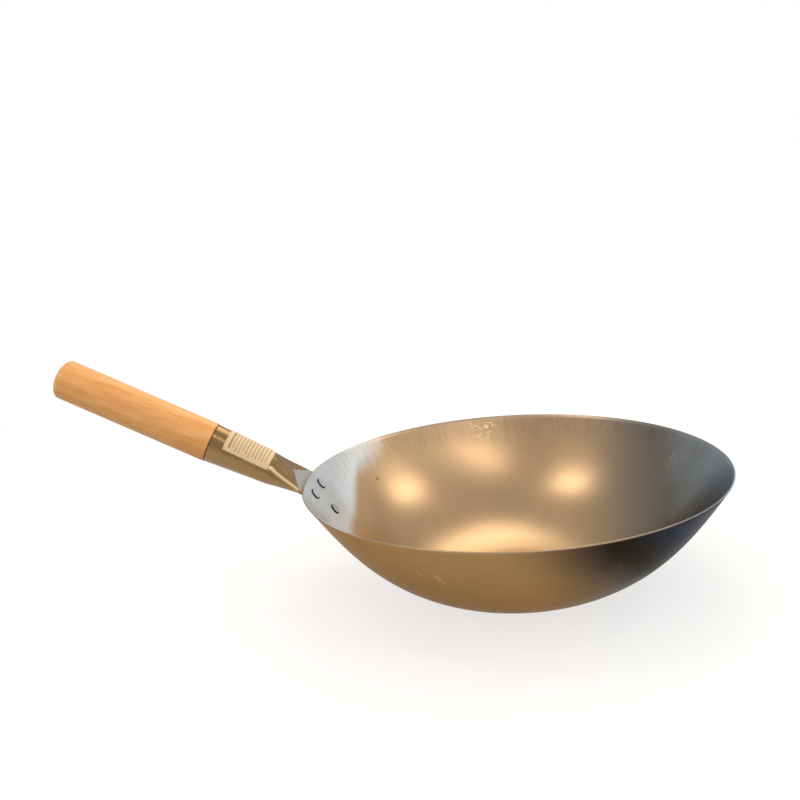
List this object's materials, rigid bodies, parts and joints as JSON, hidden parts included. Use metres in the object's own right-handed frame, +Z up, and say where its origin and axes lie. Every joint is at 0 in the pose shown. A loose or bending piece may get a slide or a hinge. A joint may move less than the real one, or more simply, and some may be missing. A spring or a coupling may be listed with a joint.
{
  "type": "wok",
  "caption": "Flat-bottomed carbon steel wok with a long handle: a sheet steel socket riveted to the bowl's wall and a turned wooden grip.",
  "frame": {"origin": "middle of the flat base, on the surface that the wok stands on", "axes": "+Z up out of the bowl; the handle runs out and up along -X; +Y is to the left for someone who holds the grip and looks along +X at the bowl"},
  "size_m": [0.5653, 0.356, 0.2091],
  "materials": {
    "bowl_steel": "oiled carbon steel, satin, with a warm tint and rub marks",
    "socket_steel": "polished, warm tint",
    "rivet_steel": "plain",
    "grip_wood": "clear satin varnish",
    "screw_steel": "plain",
    "label_paper": "matt, blank"
  },
  "bodies": {
    "root": {"wok_bowl": "bowl_steel", "handle_socket": "socket_steel", "rivet_upper_near": "rivet_steel", "rivet_upper_far": "rivet_steel", "rivet_lower": "rivet_steel", "wood_grip": "grip_wood", "grip_screw": "screw_steel", "paper_label": "label_paper"}
  },
  "joints": []
}
